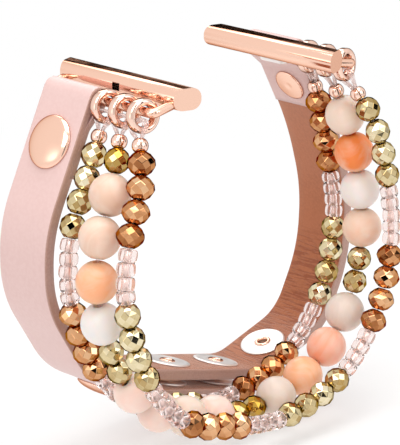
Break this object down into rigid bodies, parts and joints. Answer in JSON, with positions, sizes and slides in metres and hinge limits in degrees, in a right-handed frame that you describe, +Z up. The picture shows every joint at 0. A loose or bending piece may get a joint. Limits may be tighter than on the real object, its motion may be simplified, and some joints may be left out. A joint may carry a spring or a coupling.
{
  "type": "watch band",
  "caption": "Watch band: two snap-closed leather strap halves beside elastic bead strands, hung by rings and folds from the wire bars of sliding lug adapters.",
  "frame": {"origin": "midway between the two lug inserts, where the watch sits", "axes": "+X along the band from the outer strap half to the inner one, +Y from the bead strands to the leather, +Z up through the face of the watch"},
  "size_m": [0.087, 0.0397, 0.0756],
  "materials": {
    "rose_metal": "polished rose gold plate",
    "steel": "bright nickel",
    "crimp": "satin",
    "leather": "pale pink, fine grain",
    "lining": "terracotta, smooth",
    "cord": "clear elastic",
    "gold_bead": "faceted, metallic gold coat",
    "copper_bead": "faceted, metallic copper coat",
    "seed_bead": "clear with a pale lining",
    "stone": "polished, peach to white"
  },
  "bodies": {
    "lug_adapters": {"left_lug_insert": "rose_metal", "right_lug_insert": "rose_metal", "left_bar_bail": "rose_metal", "right_bar_bail": "rose_metal", "left_lock_spring": "steel", "right_lock_spring": "steel"},
    "left_lock": {"left_lock_button": "rose_metal"},
    "right_lock": {"right_lock_button": "rose_metal"},
    "left_ring_a": {"left_ring_a": "rose_metal"},
    "left_ring_b": {"left_ring_b": "rose_metal"},
    "left_ring_c": {"left_ring_c": "rose_metal"},
    "right_ring_a": {"right_ring_a": "rose_metal"},
    "right_ring_b": {"right_ring_b": "rose_metal"},
    "right_ring_c": {"right_ring_c": "rose_metal"},
    "strand_a": {"strand_a_cord": "cord", "strand_a_crimp_covers": "rose_metal", "strand_a_crimps": "crimp", "strand_a_gold_beads": "gold_bead", "strand_a_copper_beads": "copper_bead", "strand_a_seed_beads": "seed_bead"},
    "strand_b": {"strand_b_cord": "cord", "strand_b_crimp_covers": "rose_metal", "strand_b_crimps": "crimp", "strand_b_stones": "stone", "strand_b_gold_beads": "gold_bead"},
    "strand_c": {"strand_c_cord": "cord", "strand_c_crimp_covers": "rose_metal", "strand_c_crimps": "crimp", "strand_c_gold_beads": "gold_bead", "strand_c_copper_beads": "copper_bead", "strand_c_seed_beads": "seed_bead"},
    "outer_strap": {"outer_strap_leather_upper": "leather", "outer_strap_lining_upper": "lining", "outer_loop_cap": "rose_metal", "outer_loop_back": "steel"},
    "outer_tail": {"outer_strap_leather_tail": "leather", "outer_strap_lining_tail": "lining", "closure_cap_1": "rose_metal", "closure_socket_1": "steel", "closure_cap_2": "rose_metal", "closure_socket_2": "steel", "closure_cap_3": "rose_metal", "closure_socket_3": "steel"},
    "inner_strap": {"inner_strap_leather_upper": "leather", "inner_strap_lining_upper": "lining", "inner_loop_cap": "rose_metal", "inner_loop_back": "steel"},
    "inner_tail": {"inner_strap_leather_tail": "leather", "inner_strap_lining_tail": "lining", "closure_stud_1": "rose_metal", "closure_washer_1": "steel", "closure_stud_2": "rose_metal", "closure_washer_2": "steel", "closure_stud_3": "rose_metal", "closure_washer_3": "steel"}
  },
  "joints": [
    {"name": "left_lock_press", "type": "slide", "parent": "lug_adapters", "child": "left_lock", "axis": [0, 0, 1], "range_m": [0, 0.0005], "stiffness_N_per_m": 300, "springref_m": -0.001, "deforming": ["left_lock_spring"]},
    {"name": "right_lock_press", "type": "slide", "parent": "lug_adapters", "child": "right_lock", "axis": [0, 0, 1], "range_m": [0, 0.0005], "stiffness_N_per_m": 300, "springref_m": -0.001, "deforming": ["right_lock_spring"]},
    {"name": "left_ring_a_spin", "type": "hinge", "parent": "lug_adapters", "child": "left_ring_a", "pos_m": [-0.02753, -0.0025, -0.00253], "axis": [-0.1898, -0.9781, 0.0849], "continuous": true},
    {"name": "left_ring_b_spin", "type": "hinge", "parent": "lug_adapters", "child": "left_ring_b", "pos_m": [-0.02753, -0.00725, -0.00253], "axis": [-0.1898, -0.9781, 0.0849], "continuous": true},
    {"name": "left_ring_c_spin", "type": "hinge", "parent": "lug_adapters", "child": "left_ring_c", "pos_m": [-0.02753, -0.012, -0.00253], "axis": [-0.1898, -0.9781, 0.0849], "continuous": true},
    {"name": "right_ring_a_spin", "type": "hinge", "parent": "lug_adapters", "child": "right_ring_a", "pos_m": [0.02743, -0.0025, -0.00257], "axis": [0.1994, -0.9782, 0.0588], "continuous": true},
    {"name": "right_ring_b_spin", "type": "hinge", "parent": "lug_adapters", "child": "right_ring_b", "pos_m": [0.02743, -0.00725, -0.00257], "axis": [0.1994, -0.9782, 0.0588], "continuous": true},
    {"name": "right_ring_c_spin", "type": "hinge", "parent": "lug_adapters", "child": "right_ring_c", "pos_m": [0.02743, -0.012, -0.00257], "axis": [0.1994, -0.9782, 0.0588], "continuous": true},
    {"name": "strand_a_swing", "type": "hinge", "parent": "lug_adapters", "child": "strand_a", "pos_m": [-0.02857, -0.0025, -0.00486], "axis": [-1, 0, 0.0027], "range_deg": [0, 15]},
    {"name": "strand_b_swing", "type": "hinge", "parent": "lug_adapters", "child": "strand_b", "pos_m": [-0.02857, -0.00725, -0.00486], "axis": [-1, 0, 0.0027], "range_deg": [0, 15]},
    {"name": "strand_c_swing", "type": "hinge", "parent": "lug_adapters", "child": "strand_c", "pos_m": [-0.02857, -0.012, -0.00486], "axis": [-1, 0, 0.0027], "range_deg": [0, 15]},
    {"name": "outer_strap_swing", "type": "hinge", "parent": "lug_adapters", "child": "outer_strap", "pos_m": [-0.0272, 0.0065, -0.0018], "axis": [0, 1, 0], "range_deg": [0, 15]},
    {"name": "outer_tail_peel", "type": "hinge", "parent": "outer_strap", "child": "outer_tail", "pos_m": [-0.02998, 0.0065, -0.05664], "axis": [0, 1, 0], "range_deg": [0, 60]},
    {"name": "inner_strap_swing", "type": "hinge", "parent": "lug_adapters", "child": "inner_strap", "pos_m": [0.0272, 0.0065, -0.0018], "axis": [0, -1, 0], "range_deg": [0, 2.5]},
    {"name": "inner_tail_lift", "type": "hinge", "parent": "inner_strap", "child": "inner_tail", "pos_m": [0.03425, 0.0065, -0.06094], "axis": [0, 1, 0], "range_deg": [0, 25]}
  ],
  "couplings": [
    {"joint": "strand_a_swing", "follows": "strand_b_swing", "ratio": 1},
    {"joint": "strand_c_swing", "follows": "strand_b_swing", "ratio": 1},
    {"joint": "outer_strap_swing", "follows": "outer_tail_peel", "ratio": 0.25},
    {"joint": "inner_strap_swing", "follows": "inner_tail_lift", "ratio": 0.1}
  ]
}
